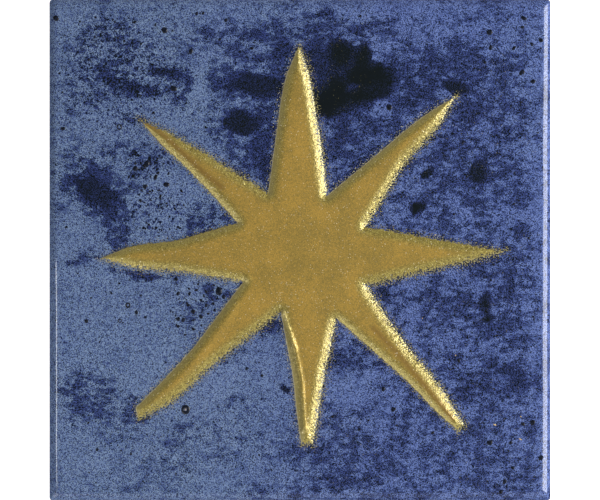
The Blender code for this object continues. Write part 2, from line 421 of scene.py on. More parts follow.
# How deep the glaze's colour lies. The coat was sponged on and pooled in places, so its colour goes from
# a pale worn denim to nearly black. Each touch of the sponge is (x, y, half length, half width, turn in
# degrees, depth), in mm and laid over those before it; depth 0 is palest and 1 is black.
BARE_DEPTH = 0.22
TOUCHES = (
    # broad washes: the right half, the top, and the paler margins
    (32, -2, 26, 62, 0, 0.56), (4, 36, 26, 17, 0, 0.46), (-36, 38, 15, 13, 0, 0.34),
    (-45, 18, 7, 18, 0, 0.3), (16, -44, 34, 14, 0, 0.49), (38, 45, 15, 5, 0, 0.36),
    (48, 0, 3.2, 52, 0, 0.34), (15, 48, 14, 2.2, 0, 0.3), (-30, 47.5, 18, 2.5, 0, 0.22),
    (-47.5, 45, 3, 8, 0, 0.2),
    # top left, stippled, with smoky streaks
    (-38, 41, 9, 5, 10, 0.46), (-40, 34, 5, 3.5, -20, 0.4), (-35.5, 32.7, 4.5, 2, -25, 0.84),
    (-26, 35.2, 5, 1.5, -14, 0.98), (-31, 31.2, 3, 1.1, 0, 0.98), (-23.5, 33.2, 2.4, 1, -20, 0.7),
    (-21, 29, 3, 1.4, 30, 0.52), (-38.5, 25, 6, 4.5, 0, 0.16), (-28, 27.5, 7, 2.5, -12, 0.16),
    (-19, 31.5, 3, 2.8, 0, 0.1), (-26, 43.5, 6, 5, 0, 0.26), (-15.5, 43.5, 7, 1.3, 12, 0.66),
    # left of the top arm
    (-9, 26, 8, 12, 0, 0.8), (-8, 32.6, 5.8, 3, 0, 1.15), (-16, 33, 3.2, 1, -52, 0.84),
    (-12.3, 25, 3.6, 1.8, 10, 1.3), (-8, 17.5, 3.8, 5.2, 0, 0.9), (-12, 28.8, 2.2, 1.3, 0, 0.38),
    (-12.5, 21.6, 1.8, 1.2, 0, 0.34), (-17, 23.4, 2.6, 2.2, 0, 0.64), (-9, 36.8, 4.5, 1, 0, 0.36),
    # above the top arm
    (-8, 43, 4.2, 0.9, 4, 0.84), (-9, 38.6, 3.2, 1.2, 0, 0.84), (-3.4, 39.5, 2.4, 2.4, 0, 0.9),
    (4.5, 46.2, 4.6, 0.9, 4, 0.84), (12, 44.3, 4.6, 0.9, 18, 0.8), (1.5, 43.2, 8.5, 1.8, 0, 0.7),
    # the black pool right of the top arm
    (8.2, 34.6, 7.4, 7.4, 0, 1.1), (5.7, 31, 3.5, 3.6, 0, 1.95), (6.4, 28.9, 3.6, 2, 0, 1.95),
    (11.3, 29.6, 3.8, 1.8, 0, 1.95), (12.2, 33.8, 2.9, 3, 0, 1.9), (12.8, 38.3, 1.2, 3.2, 0, 1.7),
    (16.9, 34.6, 3.2, 2.4, 0, 1.95), (16, 31.5, 2.9, 1.6, 0, 1.5), (7.8, 39.1, 2.8, 2, 0, 1.7),
    (10.6, 31.6, 1.6, 0.7, 0, 0.86), (17.2, 38.2, 3.4, 1.2, 0, 0.5), (3.4, 36.5, 2.6, 4.5, 0, 0.96),
    (17.5, 28.4, 1.6, 1, 0, 0.62), (25, 34, 7, 6, 0, 0.74), (31, 36.3, 12, 4.6, 0, 0.73),
    (31.8, 31.4, 2, 1.1, 0, 1.5), (27.4, 33.4, 1.4, 2.4, 0, 0.84), (23, 38, 4, 2, 0, 0.68),
    # between the top arm and the upper right one
    (10, 21, 6, 8, 0, 0.8), (15, 24.5, 5, 4, 0, 0.74), (16, 25.4, 4.5, 2.4, 20, 0.62),
    (7, 15, 2.4, 2.6, 0, 0.56),
    # right of the upper right arm
    (33, 20, 11, 11, 0, 0.68), (32, 24, 8, 4.5, 0, 0.78), (35.6, 15.6, 1.5, 2.5, 0, 1.3),
    (29, 25, 3.5, 2.5, 0, 0.66), (40, 29, 4, 4, 0, 0.64), (23.5, 8.9, 1.2, 1.4, 0, 1.9),
    (24.4, 16.2, 1, 0.8, 0, 1.5), (28.8, 6.8, 0.9, 0.7, 0, 1.8), (22, 12, 3.5, 2.5, 0, 0.52),
    (32, 8, 4, 3, 0, 0.46),
    # right, below the middle
    (30, -16, 14, 10, 0, 0.56), (16.6, -8.4, 2.6, 1.3, -10, 0.88), (24, -10.6, 2.4, 1.5, 0, 0.76),
    (37.3, -10.4, 1.4, 2.5, 0, 1.2), (38.4, -13.6, 0.9, 0.9, 0, 1.5), (35, -4, 5, 2.5, 0, 0.62),
    (40, -26, 6, 4.2, 0, 0.86), (32.6, -29.4, 2.6, 1.7, 0, 0.86), (34.2, -26, 2, 1.2, 0, 0.78),
    (21.5, -13.5, 3, 2.6, 0, 0.36), (27, -15, 3, 2, 0, 0.4), (34, -19.5, 3, 1.6, 0, 0.42),
    # between the lower right arm and the bottom one
    (11.5, -21.6, 6.5, 2.2, -8, 0.66), (10.5, -17.5, 2.5, 2, 0, 0.44), (9.5, -28, 4.5, 4, 0, 0.26),
    (17, -31.5, 5, 3.2, 0, 0.32),
    # along the bottom
    (9, -43.8, 10, 5, 0, 0.62), (38, -45.5, 8, 2.5, 0, 0.54), (26, -38, 10, 3.5, 0, 0.5),
    (-23, -37.5, 9.5, 2.6, 38, 0.4), (-9, -30.8, 4.6, 2.2, 30, 0.36), (-11.6, -29.2, 1.1, 0.9, 0, 1.1),
    (-3.2, -28.2, 1, 0.8, 0, 1.3), (-8, -44, 9, 3.5, 0, 0.34), (-10, -47.9, 7, 0.6, 0, 0.56),
    # the left side
    (-42, -28, 8, 5.8, 10, 0.42), (-44, -28.5, 3.5, 2, 0, 0.5), (-36, -37, 6, 4, 0, 0.3),
    (-30, -46, 24, 5, 0, 0.27), (-20, -26, 12, 7, 0, 0.09), (-41.2, 12.8, 7.4, 4.3, -34, 0.8),
    (-44.4, 16.4, 3, 1.8, -40, 0.62), (-42.2, 12.6, 3.2, 2.2, -30, 1.15),
    (-38.4, 10.4, 3.4, 2.4, -40, 1.05), (-36.2, 6.4, 3, 3.6, 0, 0.74), (-37, 2.6, 2, 2.8, 20, 0.62),
    (-40.6, 5.6, 1.8, 1.8, 0, 0.26), (-43, -1.9, 4.2, 1, 14, 0.66), (-45, 3.5, 4, 4.5, 0, 0.2),
    (-31.5, -4.5, 6.5, 0.7, -8, 0.84), (-31, 17.2, 3.8, 2.8, 0, 0.38), (-35, 21, 4, 1.6, 10, 0.34),
    (-18.5, 6, 5.4, 2.8, 20, 0.72), (-28, 8.5, 5, 5, 0, 0.1),
    # below the left arm, and in the notch of the bottom arm
    (-23.6, -8.6, 1.6, 4.6, 20, 0.4), (-16.4, -8.4, 2.4, 2.1, 0, 0.72), (-21, -13.6, 4, 1.8, 30, 0.46),
    (-11.5, -6.6, 1.6, 0.9, 0, 0.8), (-6.2, -15.4, 3.4, 1.5, 24, 0.88), (-12.8, -20.4, 2.2, 1.2, 10, 0.5),
    # smaller darker clouds over all of it
    (37, 23.5, 5, 2.6, 10, 0.76), (43, 20.5, 2.4, 3.4, 0, 0.72), (23, 43, 5, 2.4, 0, 0.6),
    (26.5, 37, 3.2, 2.2, -30, 0.86), (30.5, 31.8, 2.6, 1.2, 0, 1.2), (22.5, 30, 2.5, 2, 0, 0.85),
    (15.5, 22.8, 2.5, 1.5, 0, 0.84), (32, 9.5, 2.4, 1.8, 0, 0.66), (40, 3.5, 3, 2, 0, 0.7),
    (45, -1, 1.6, 6, 0, 0.56), (40.5, -8.5, 2.6, 3.4, 0, 0.8), (29, -17, 2, 1.5, 0, 0.66),
    (34.5, -31, 3, 1.6, 0, 0.68), (21.5, -33.5, 3, 2.4, 0, 0.52), (15, -37, 3.4, 2, 0, 0.56),
    (26, -43.5, 5, 2, -20, 0.6), (3, -45.5, 4, 2, 0, 0.72), (42, -44.5, 3, 1.6, 0, 0.58),
    (46.5, -46.5, 2, 2.4, 0, 0.5), (13.5, -22.8, 3, 1.4, 0, 0.74), (-24, 30.5, 2.6, 1.8, 0, 0.7),
    (-31, 37.4, 2, 2.4, 0, 0.62), (-41, 30.5, 3, 2, 0, 0.56), (-34, 26.4, 2.4, 1, -20, 0.54),
    (-13, 30.6, 2, 1.1, 0, 0.8), (-38, 18.6, 2.6, 1.2, -20, 0.58), (-33.5, 12.6, 2, 1.4, 0, 0.6),
    (-17, -36, 3.4, 1.8, 35, 0.44), (-24, -42.5, 2.6, 2, 0, 0.42), (-36, -32, 7, 3.4, -15, 0.48),
    (-44, -34, 3, 3, 0, 0.44), (-15, -30.5, 2.6, 1, 40, 0.44), (-16.4, -21.4, 1.6, 1, 0, 0.6),
    # and paler ones
    (-44.5, 16, 3, 0.9, -32, 0.34), (22.6, -18.2, 3.2, 1.6, -55, 0.3), (27.6, -7.6, 2.6, 1.5, 0, 0.42),
    (30.5, 16, 2.4, 2.6, 0, 0.42), (26.5, 5, 2.8, 1.2, 0, 0.42), (21, 5, 2, 1.2, 0, 0.4),
    (33.5, 38, 2.2, 2.6, 0, 0.5), (44, 39, 2.2, 2, 0, 0.36), (16, -47.8, 8, 1.6, 0, 0.36),
    (-17, -46.4, 4, 2.6, 0, 0.18), (-5, 48, 8, 1.4, 0, 0.3), (-9, 45.4, 3.4, 0.9, 0, 0.3),
    (-7, -34.6, 4, 2, 0, 0.24), (-9, -25, 3, 3, 0, 0.2), (9.6, -20, 1.5, 1.5, 0, 0.4),
    (-5, 35.2, 1.8, 1.2, 0, 0.6), (-17.6, 32, 1.2, 2.2, 0, 0.14),
)
SOFT_RIM = (0.50, 1.40)      # a touch is full to the first share of its size, and gone at the second
SPREAD = (
    # the swells that pull its rim about, as (size, throw, seed) in mm
    (9, 1.6, 11), (3.4, 1, 12), (1.5, 0.5, 13),
)
DOTTED = (
    # where the stipple breaks into separate dots: (x, y, half length, half width, strength) in mm
    (-36, 34, 15, 16, 1.2), (-28, 8, 7, 6, 1.25), (-20.5, -10, 6, 6, 0.8), (-18, 6, 6, 4, 0.8),
    (-32, -4, 6, 2.5, 0.8), (-42, 6, 7, 14, 0.8), (-30, 18, 6, 5, 1.4), (5, 44, 14, 5, 0.6),
    (32, 6, 20, 44, 0.3), (12, -26, 9, 9, 0.3), (-38, -24, 12, 12, 0.3), (-10, 27, 9, 15, 0.6),
)


def fall_off(x, y, half_long, half_wide, turn):
    """1 inside a touch, falling to 0 past its rim, for arrays of places in mm from its middle."""
    cos = math.cos(math.radians(turn))
    sin = math.sin(math.radians(turn))
    along = x * cos + y * sin
    across = y * cos - x * sin
    reach = np.hypot(along / half_long, across / half_wide)
    share = np.clip((SOFT_RIM[1] - reach) / (SOFT_RIM[1] - SOFT_RIM[0]), 0, 1)
    return share * share * (3 - 2 * share)


def glaze_depth(places):
    """The depth of the glaze's colour, and how dotted it is, at each place given in mm."""
    moved = places.copy()
    for size, throw, seed in SPREAD:
        for axis in (0, 1):
            pull = [waver(x, y, size, seed + 10 * axis) for x, y in places]
            moved[:, axis] += throw * np.array(pull)
    depth = np.full(len(places), BARE_DEPTH)
    for x, y, half_long, half_wide, turn, touch in TOUCHES:
        share = fall_off(moved[:, 0] - x, moved[:, 1] - y, half_long, half_wide, turn)
        depth += (touch - depth) * share
    dotted = np.zeros(len(places))
    for x, y, half_long, half_wide, strength in DOTTED:
        share = fall_off(moved[:, 0] - x, moved[:, 1] - y, half_long, half_wide, 0)
        dotted = np.maximum(dotted, strength * share)
    return depth, dotted


def keep_on_points(thing, name, values):
    """Keeps one number for each point of the mesh, for its material to read by this name."""
    layer = thing.data.attributes.new(name, "FLOAT", "POINT")
    layer.data.foreach_set("value", np.asarray(values, np.float32))


places_mm = np.array([vertex.co[:2] for vertex in face.data.vertices]) / MM
glaze, dots = glaze_depth(places_mm)
keep_on_points(face, "glaze_depth", glaze)
keep_on_points(face, "dotted", dots)
star_depth = star_depth_at(places_mm * MM) / MM
keep_on_points(face, "star_depth", star_depth)
# painted shade: along the ridge of two arms the gold is painted browner, as the shade that lies along their
# middles
SHADED_RIDGES = (
    # points along the ridge and the line's half width, in mm
    (((-30.4, 25.2), (-27.0, 22.8), (-22.9, 18.9), (-19.7, 15.9), (-15.5, 12.4)), 0.55),
    (((14.6, -15.6), (20.1, -21.3), (25.0, -27.2), (30.4, -33.6)), 0.50),
)
stroke = np.zeros(len(places_mm))
for line, half_width in SHADED_RIDGES:
    stroke += np.exp(-(away_from_line(places_mm, line) / half_width) ** 2)
keep_on_points(face, "stroke", stroke)
# 1 where the star's border faces the lower right, -1 where it faces the upper left
LOWER_RIGHT = np.array([0.94, -0.34])
STEP_ASIDE = 0.05            # mm
facing = (star_depth - star_depth_at((places_mm + STEP_ASIDE * LOWER_RIGHT) * MM) / MM) / STEP_ASIDE
keep_on_points(face, "facing", facing)

# Cobalt glaze on earthenware, dipped and sponged, under fired gold lustre. The glaze gives a deep wet gloss
# over a stipple of pale and dark grains. The gold gives a warm satin metal with a fine sandy grain, ragged
# at its border, where loose grains of the gold powder were fired on beside it.
SPECKLE = 0.12               # mm; the coat's own grain is finer, and is drawn as coarse as it shows
CLOUD = 4.2                  # mm, the smoky patches
TEAR = 1.5                   # mm, their torn edges
HUE_DRIFT = 16               # mm, from a greyer blue to a more violet one
GOLD_GRAIN = 0.34            # mm; the powder is finer, and is drawn as coarse as it shows
GOLD_LUMP = 0.9              # mm, where the brush left the gold thicker
GOLD_CLOUD = 6               # mm, its browner and yellower patches
BORDER_TEAR = 0.6            # mm, the notches of its border
GOLD_DUST = 0.26             # mm, the loose grains beside it
DOTS = (
    # dark dots of the stipple: (mm apart, radius as a share of that, darkness, how strong outside DOTTED)
    (1.5, 0.36, 0.55, 0), (0.7, 0.4, 0.75, 0), (0.32, 0.56, 0.5, 0.1),
)
GRAIN_MEAN = 0.31            # the mean darkness of the coat's grains
PALEST = 0.03                # the level at which the blues below begin
LEVEL_SPAN = 1.3             # how far above that they end, in black
LEFT_BLUE = (
    (0.0, "#90A2BE"), (0.23, "#6F84A6"), (0.42, "#4F628D"), (0.62, "#384580"), (0.80, "#242D54"),
    (0.92, "#171F28"), (1.0, "#11171A"),
)
RIGHT_BLUE = (
    (0.0, "#7C8EC4"), (0.23, "#6275AC"), (0.42, "#4D5E95"), (0.62, "#37437A"), (0.80, "#232B4E"),
    (0.92, "#161D26"), (1.0, "#101618"),
)
coat, tree, shader, place = new_material("sponged_cobalt_glaze_and_fired_gold")
depth, dotted, inside, facing, stroke = [
    add_node(tree, "Attribute", {"attribute_name": name}, {}).outputs["Fac"]
    for name in ("glaze_depth", "dotted", "star_depth", "facing", "stroke")
]

clouds = add_node(tree, "TexNoise", {}, {
    "Vector": place, "Scale": 1 / CLOUD, "Detail": 8.0, "Roughness": 0.74, "Distortion": 0.3,
})
# smoky patches: clouds pull at the depth where it is between pale and black, and a step curdles them
rising = add_node(tree, "MapRange", {}, {"Value": depth, "From Min": 0.18, "From Max": 0.46})
falling = add_node(tree, "MapRange", {}, {"Value": depth, "From Min": 1.05, "From Max": 0.75})
window = add_node(tree, "Math", {"operation": "MULTIPLY"}, {0: rising, 1: falling})
wide = add_node(tree, "VectorMath", {"operation": "MULTIPLY"}, {0: place, 1: (0.7, 1.3, 1.0)})
tears = add_node(tree, "TexNoise", {}, {
    "Vector": wide, "Scale": 1 / TEAR, "Detail": 5.0, "Roughness": 0.62, "Distortion": 0.6,
})
swirl = add_node(tree, "Math", {"operation": "MULTIPLY_ADD"}, {0: tears, 1: 0.75, 2: clouds})
swirl = add_node(tree, "Math", {"operation": "ADD"}, {0: swirl, 1: -0.875})
swirl_amount = add_node(tree, "Math", {"operation": "MULTIPLY_ADD"}, {0: dotted, 1: 2.4, 2: 3.1})
swirl_amount = add_node(tree, "Math", {"operation": "MULTIPLY_ADD"}, {0: window, 1: swirl_amount, 2: 0.7})
level = add_node(tree, "Math", {"operation": "MULTIPLY_ADD"}, {0: swirl, 1: swirl_amount, 2: depth})
level = add_node(tree, "MapRange", {"interpolation_type": "SMOOTHSTEP"}, {
    "Value": level, "From Min": 0.15, "From Max": 0.95, "To Min": 0.12, "To Max": 0.66,
})
level = add_node(tree, "Math", {"operation": "MULTIPLY_ADD"}, {0: depth, 1: 0.30, 2: level})
# dark dots of three sizes, where the stipple breaks up
for dot_size, dot_share, darkness, everywhere in DOTS:
    cells = add_node(tree, "TexVoronoi", {}, {"Vector": place, "Scale": 1 / dot_size})
    chance_of_dot = add_node(tree, "SeparateColor", {}, {0: cells.outputs["Color"]}).outputs["Green"]
    more = add_node(tree, "Math", {"operation": "MULTIPLY_ADD"}, {0: dotted, 1: 0.85, 2: everywhere})
    radius = add_node(tree, "Math", {"operation": "MULTIPLY"}, {0: chance_of_dot, 1: more})
    radius = add_node(tree, "Math", {"operation": "MULTIPLY_ADD"}, {
        0: radius, 1: dot_share * 1.6, 2: -dot_share * 0.6,
    })
    within = add_node(tree, "Math", {"operation": "SUBTRACT"}, {0: radius, 1: cells.outputs["Distance"]})
    spot = add_node(tree, "MapRange", {}, {
        "Value": within, "From Min": -0.03, "From Max": 0.05, "To Max": darkness,
    })
    level = add_node(tree, "Math", {"operation": "ADD"}, {0: level, 1: spot})
# the grain of the sponged coat: more dark grains than pale ones
speckle = add_node(tree, "TexVoronoi", {}, {"Vector": place, "Scale": 1 / SPECKLE}).outputs["Color"]
speckle = add_node(tree, "SeparateColor", {}, {0: speckle}).outputs["Red"]
dark_grains = add_node(tree, "Math", {"operation": "POWER"}, {0: speckle, 1: 2.2})
# the grain is harder where the coat is clouded
grain_amount = add_node(tree, "Math", {"operation": "MULTIPLY_ADD"}, {0: window, 1: 0.45, 2: 1.20})
grain = add_node(tree, "Math", {"operation": "ADD"}, {0: dark_grains, 1: -GRAIN_MEAN})
grain = add_node(tree, "Math", {"operation": "MULTIPLY_ADD"}, {
    0: grain, 1: grain_amount, 2: 1.35 * GRAIN_MEAN,
})
level = add_node(tree, "Math", {"operation": "ADD"}, {0: level, 1: grain})
# the level becomes a place on the ramps of blue, from 0 to 1
level = add_node(tree, "Math", {"operation": "MULTIPLY_ADD"}, {
    0: level, 1: 1 / LEVEL_SPAN, 2: -PALEST / LEVEL_SPAN,
})

left_blue = add_node(tree, "ValToRGB", {"stops": LEFT_BLUE}, {"Fac": level})
right_blue = add_node(tree, "ValToRGB", {"stops": RIGHT_BLUE}, {"Fac": level})
hue_noise = add_node(tree, "TexNoise", {}, {
    "Vector": place, "Scale": 1 / HUE_DRIFT, "Detail": 2.0, "Roughness": 0.5,
})
across = add_node(tree, "SeparateXYZ", {}, {0: place}).outputs["X"]
across = add_node(tree, "MapRange", {}, {
    "Value": across, "From Min": -30.0, "From Max": 22.0, "To Min": -0.15,
})
hue = add_node(tree, "Math", {"operation": "MULTIPLY_ADD"}, {0: hue_noise, 1: 0.9, 2: -0.45})
hue = add_node(tree, "Math", {"operation": "ADD", "use_clamp": True}, {0: across, 1: hue})
blue = add_node(tree, "Mix", {"data_type": "RGBA"}, {"Factor": hue, "A": left_blue, "B": right_blue})

gold_grain = add_node(tree, "TexNoise", {}, {
    "Vector": place, "Scale": 1 / GOLD_GRAIN, "Detail": 2.0, "Roughness": 0.6,
})
gold_cloud = add_node(tree, "TexNoise", {}, {
    "Vector": place, "Scale": 1 / GOLD_CLOUD, "Detail": 3.0, "Roughness": 0.55,
})
gold_tone = -0.12
for pattern, share in ((gold_grain, 0.24), (gold_cloud, 0.8), (speckle, 0.66)):
    gold_tone = add_node(tree, "Math", {"operation": "MULTIPLY_ADD"}, {0: pattern, 1: share, 2: gold_tone})
gold_tone = add_node(tree, "Math", {"operation": "ADD"}, {0: gold_tone, 1: -0.25})
thick_gold = add_node(tree, "ValToRGB", {
    "stops": ((0.25, "#9B8546"), (0.50, "#B7994A"), (0.75, "#CEA64F")),
}, {"Fac": gold_tone})
# the lustre thins to a paler yellow on the star's shoulders
thinness = add_node(tree, "MapRange", {"interpolation_type": "SMOOTHSTEP"}, {
    "Value": inside, "From Min": 0.9, "From Max": 2.7, "To Min": 1.0, "To Max": 0.0,
})
thin_gold_and_painted_shade = add_node(tree, "ValToRGB", {
    "stops": ((0.0, "#6A5C2E"), (0.5, "#978641"), (1.0, "#C8BA68")),
}, {"Fac": speckle})
# painted shade: near the border, where it faces the upper left, away from the lamps, the gold is painted a
# greyer colour, as that side looks in the dim light there
painted_shade_grey = add_node(tree, "MapRange", {}, {
    "Value": facing, "From Min": -0.3, "From Max": -0.8, "To Max": 0.6,
})
near_border = add_node(tree, "MapRange", {}, {"Value": inside, "From Min": 1.7, "From Max": 0.5})
painted_shade_grey = add_node(tree, "Math", {"operation": "MULTIPLY"}, {0: painted_shade_grey, 1: near_border})
thin_gold_and_painted_shade = add_node(tree, "Mix", {"data_type": "RGBA"}, {
    "Factor": painted_shade_grey, "A": thin_gold_and_painted_shade, "B": linear("#B8AA72"),
})
gold = add_node(tree, "Mix", {"data_type": "RGBA"}, {"Factor": thinness, "A": thick_gold, "B": thin_gold_and_painted_shade})
# painted shade along the ridges of two arms
stroke = add_node(tree, "Math", {"operation": "MULTIPLY"}, {0: stroke, 1: 0.8})
# painted glints: one grain in a hundred is painted near white, as if it caught the light
painted_glint = add_node(tree, "MapRange", {}, {
    "Value": speckle, "From Min": 0.988, "From Max": 0.992, "To Max": 0.8,
})
# the loose grains outside are thinner still, and greenish over the blue
off_star = add_node(tree, "MapRange", {}, {
    "Value": inside, "From Min": -0.1, "From Max": 0.35, "To Min": 1.0, "To Max": 0.0,
})

# painted highlight: on the sides that face the upper left the gold ends in a fine pale line, painted as its
# rim catching the light
lip_highlight = add_node(tree, "MapRange", {}, {
    "Value": facing, "From Min": -0.60, "From Max": -0.85, "To Max": 0.75,
})
lip_highlight_start = add_node(tree, "MapRange", {}, {"Value": inside, "From Min": 0.36, "From Max": 0.22})
lip_highlight = add_node(tree, "Math", {"operation": "MULTIPLY"}, {0: lip_highlight, 1: lip_highlight_start})
# over the gold go the painted ridge shade, the painted glints, the loose grains outside and the painted
# highlight of the lip
for share, over in ((stroke, "#94743C"), (painted_glint, "#FFF4D0"), (off_star, "#AFA46C"), (lip_highlight, "#EDE4C0")):
    gold = add_node(tree, "Mix", {"data_type": "RGBA"}, {"Factor": share, "A": gold, "B": linear(over)})

border_noise = add_node(tree, "TexNoise", {}, {
    "Vector": place, "Scale": 1 / BORDER_TEAR, "Detail": 3.0, "Roughness": 0.75,
})
# the border is torn where it faces the lower right, and clean where it faces the upper left
torn = add_node(tree, "MapRange", {}, {"Value": facing, "From Min": -0.5, "From Max": 0.6, "To Min": 0.12})
ragged = add_node(tree, "Math", {"operation": "MULTIPLY_ADD"}, {0: border_noise, 1: 3.4, 2: -1.7})
ragged = add_node(tree, "Math", {"operation": "MULTIPLY_ADD"}, {0: speckle, 1: 0.6, 2: ragged})
ragged = add_node(tree, "Math", {"operation": "ADD"}, {0: ragged, 1: -0.50})
ragged = add_node(tree, "Math", {"operation": "MULTIPLY_ADD"}, {0: ragged, 1: torn, 2: inside})
ragged = add_node(tree, "Math", {"operation": "ADD"}, {0: ragged, 1: -0.14})
solid_gold = add_node(tree, "MapRange", {}, {"Value": ragged, "From Min": -0.07, "From Max": 0.07})
# loose grains of the powder, fewer further out
dust_noise = add_node(tree, "TexNoise", {}, {
    "Vector": place, "Scale": 1 / GOLD_DUST, "Detail": 1.0, "Roughness": 0.5,
})
thinning = add_node(tree, "MapRange", {}, {
    "Value": inside, "From Min": -2.0, "From Max": 0.0, "To Min": -0.28, "To Max": -0.02,
})
strewn = add_node(tree, "Math", {"operation": "MULTIPLY_ADD"}, {0: torn, 1: 0.115, 2: -0.074})
dust = add_node(tree, "Math", {"operation": "ADD"}, {0: dust_noise, 1: thinning})
dust = add_node(tree, "Math", {"operation": "ADD"}, {0: dust, 1: strewn})
dust = add_node(tree, "MapRange", {}, {"Value": dust, "From Min": 0.50, "From Max": 0.53})
gilt = add_node(tree, "Math", {"operation": "MAXIMUM"}, {0: solid_gold, 1: dust})
# among the loose gold lie dark grains, in the same band as the gold ones
dark_flecks = add_node(tree, "Math", {"operation": "SUBTRACT"}, {0: 1.0, 1: dust_noise})
dark_flecks = add_node(tree, "Math", {"operation": "ADD"}, {0: dark_flecks, 1: thinning})
dark_flecks = add_node(tree, "Math", {"operation": "ADD"}, {0: dark_flecks, 1: strewn})
dark_flecks = add_node(tree, "MapRange", {}, {"Value": dark_flecks, "From Min": 0.50, "From Max": 0.54, "To Max": 0.85})
blue = add_node(tree, "Mix", {"data_type": "RGBA"}, {"Factor": dark_flecks, "A": blue, "B": linear("#141A20")})
colour = add_node(tree, "Mix", {"data_type": "RGBA"}, {"Factor": gilt, "A": blue, "B": gold})
# the gold is a powder in a fired binder, so only a part of it shines as metal
metal = add_node(tree, "Math", {"operation": "MULTIPLY"}, {0: gilt, 1: 0.38})
gloss = add_node(tree, "MapRange", {}, {"Value": gilt, "To Min": 0.07, "To Max": 0.26})
# a thin skin of melted flux lies on the gold, and its gleam is white
flux = add_node(tree, "Math", {"operation": "MULTIPLY"}, {0: gilt, 1: torn})
flux = add_node(tree, "Math", {"operation": "MULTIPLY"}, {0: flux, 1: 0.30})
# the gold stands above the coat, sandy and lumpy, most of all where it is thin at its rim
lumps = add_node(tree, "TexNoise", {}, {
    "Vector": place, "Scale": 1 / GOLD_LUMP, "Detail": 2.0, "Roughness": 0.6,
})
sandy = add_node(tree, "Math", {"operation": "MULTIPLY_ADD"}, {0: lumps, 1: 1.6, 2: gold_grain})
at_rim = add_node(tree, "Math", {"operation": "MULTIPLY_ADD"}, {0: thinness, 1: 0.5, 2: 0.2})
sandy = add_node(tree, "Math", {"operation": "MULTIPLY"}, {0: sandy, 1: at_rim})
sandy = add_node(tree, "Math", {"operation": "MULTIPLY"}, {0: sandy, 1: gilt})
height = add_node(tree, "Math", {"operation": "MULTIPLY_ADD"}, {0: gilt, 1: 0.35, 2: sandy})
relief = add_node(tree, "Bump", {}, {"Height": height, "Strength": 1.0, "Distance": 0.10 * MM})
fill_sockets(tree, shader, {
    "Base Color": colour, "Metallic": metal, "Roughness": gloss, "IOR": 1.5, "Normal": relief,
    "Coat Weight": flux, "Coat Roughness": 0.20, "Coat Normal": relief,
})
face.data.materials.append(coat)
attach(face, "root")
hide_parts("tile")


# The iron specks. Grains of iron in the clay and the glaze melted in the fire and bled into round black
# spots, from a pinhead down to a dot, scattered over the coat and thickest at the upper left.
SPECKS = (
    # (x, y, radius) in mm of the larger ones
    (-27, 43.8, 0.62), (-25.2, 32.2, 0.66), (-21.8, 39.6, 0.5), (-47.2, 24.2, 0.42), (-29.2, 27.4, 0.3),
    (-48.6, 46.2, 0.6), (-19.3, 47.2, 0.3), (-20.6, 47.1, 0.34), (-14.8, 45.8, 0.42), (37.8, 43.4, 0.62),
    (44.6, 46.2, 0.5), (44.3, 44.4, 0.36), (48, 41.8, 0.46), (46.2, 41, 0.36), (42.6, 40.2, 0.42),
    (44.2, 35.4, 0.58), (36.8, 37.4, 0.34), (38, 40.4, 0.42), (46.4, 33.6, 0.5), (46.4, -34.4, 0.48),
    (44.4, -34.7, 0.4), (37.8, -38.4, 0.56), (42, -38.4, 0.36), (48, -41.4, 0.54), (42.4, -43.4, 0.36),
    (40.8, -46.2, 0.42), (40, -48.2, 0.4), (17.8, 28.4, 0.6), (16.6, -27.7, 0.48), (18.6, -31.8, 0.5),
    (4.6, -27.2, 0.36), (42.6, 9.2, 0.3), (29.8, 28, 0.3), (-46.6, 4.6, 0.3), (-42.6, -14.2, 0.42),
    (-32.6, -12.4, 0.4), (-30.8, -13.4, 0.3), (-24.2, -13.8, 0.36), (-29.6, -5.8, 0.3), (-13.4, -19.8, 0.3),
    (-10.6, -23.6, 0.32), (-7.6, -25, 0.3), (6.4, -33.2, 0.3), (11.8, -35.8, 0.34), (26.4, -36.4, 0.34),
    (31.6, -22, 0.34), (45.6, 2.4, 0.28), (22.8, 20.8, 0.26), (12, 46.6, 0.26), (-33, 45.4, 0.34),
    (-16, 42, 0.3), (-9.6, 40.2, 0.3), (-40.4, -39.8, 0.32), (-26.8, -22.4, 0.24), (-37.6, -8.6, 0.28),
    (-30.6, 17.2, 0.66), (-26.6, 13, 0.56), (-28.8, 14.5, 0.48), (-28.3, 15.3, 0.3), (-32.8, 16.2, 0.5),
    (-30.9, 12.7, 0.46), (-29.4, 11.8, 0.24), (-27.8, 10.8, 0.28), (-29.8, 10, 0.26), (-31.8, 9.8, 0.28),
    (-28, 11.9, 0.2), (-26.2, 15.2, 0.28), (-27.2, 17.2, 0.24), (-28.4, 18.2, 0.26), (-31.2, 4.4, 0.3),
    (-28.6, 4.4, 0.28), (-30.6, 5.4, 0.2), (-24.9, 8.2, 0.26), (-23.7, 11.9, 0.24), (-26, 6.6, 0.22),
    (-16.2, -8.2, 0.8), (-15.2, -9.4, 0.4), (-21.3, -12.3, 0.46), (-22.3, -11, 0.34), (-19.7, -13.3, 0.4),
    (-18.7, -11, 0.34), (-17.3, -10.7, 0.34), (-20.7, -8, 0.3), (-22, -8.7, 0.32), (-18.7, -8.3, 0.3),
    (-24.3, -8.7, 0.4), (-23.3, -14, 0.4), (-24.3, -15.2, 0.34), (-21.3, -15.7, 0.36), (-19.7, -10, 0.3),
    (-18.3, -12.7, 0.28), (-17, -12, 0.3), (-24.7, -5.8, 0.4), (-20.3, -6.8, 0.26), (-22.9, -16.9, 0.24),
)
SMALL_SPECKS = (
    # (x, y, half width, half height, how many) of the clusters of small ones, in mm
    (-28.5, 8, 5.5, 4.5, 70), (-20.5, -10, 5.5, 5.5, 46), (-36, 38, 12, 9, 60), (-30, 18, 6, 4, 22),
    (0, 0, 48, 48, 170),
)
SMALL_RADIUS = (0.10, 0.26)  # mm
SPECK_RISE = 0.04 * MM
SPECK_SIDES = 9
IRON_CLOUD = 0.5             # mm, the blue cast in the black
STAR_CLEARANCE = 0.5         # mm; no speck shows through the gold


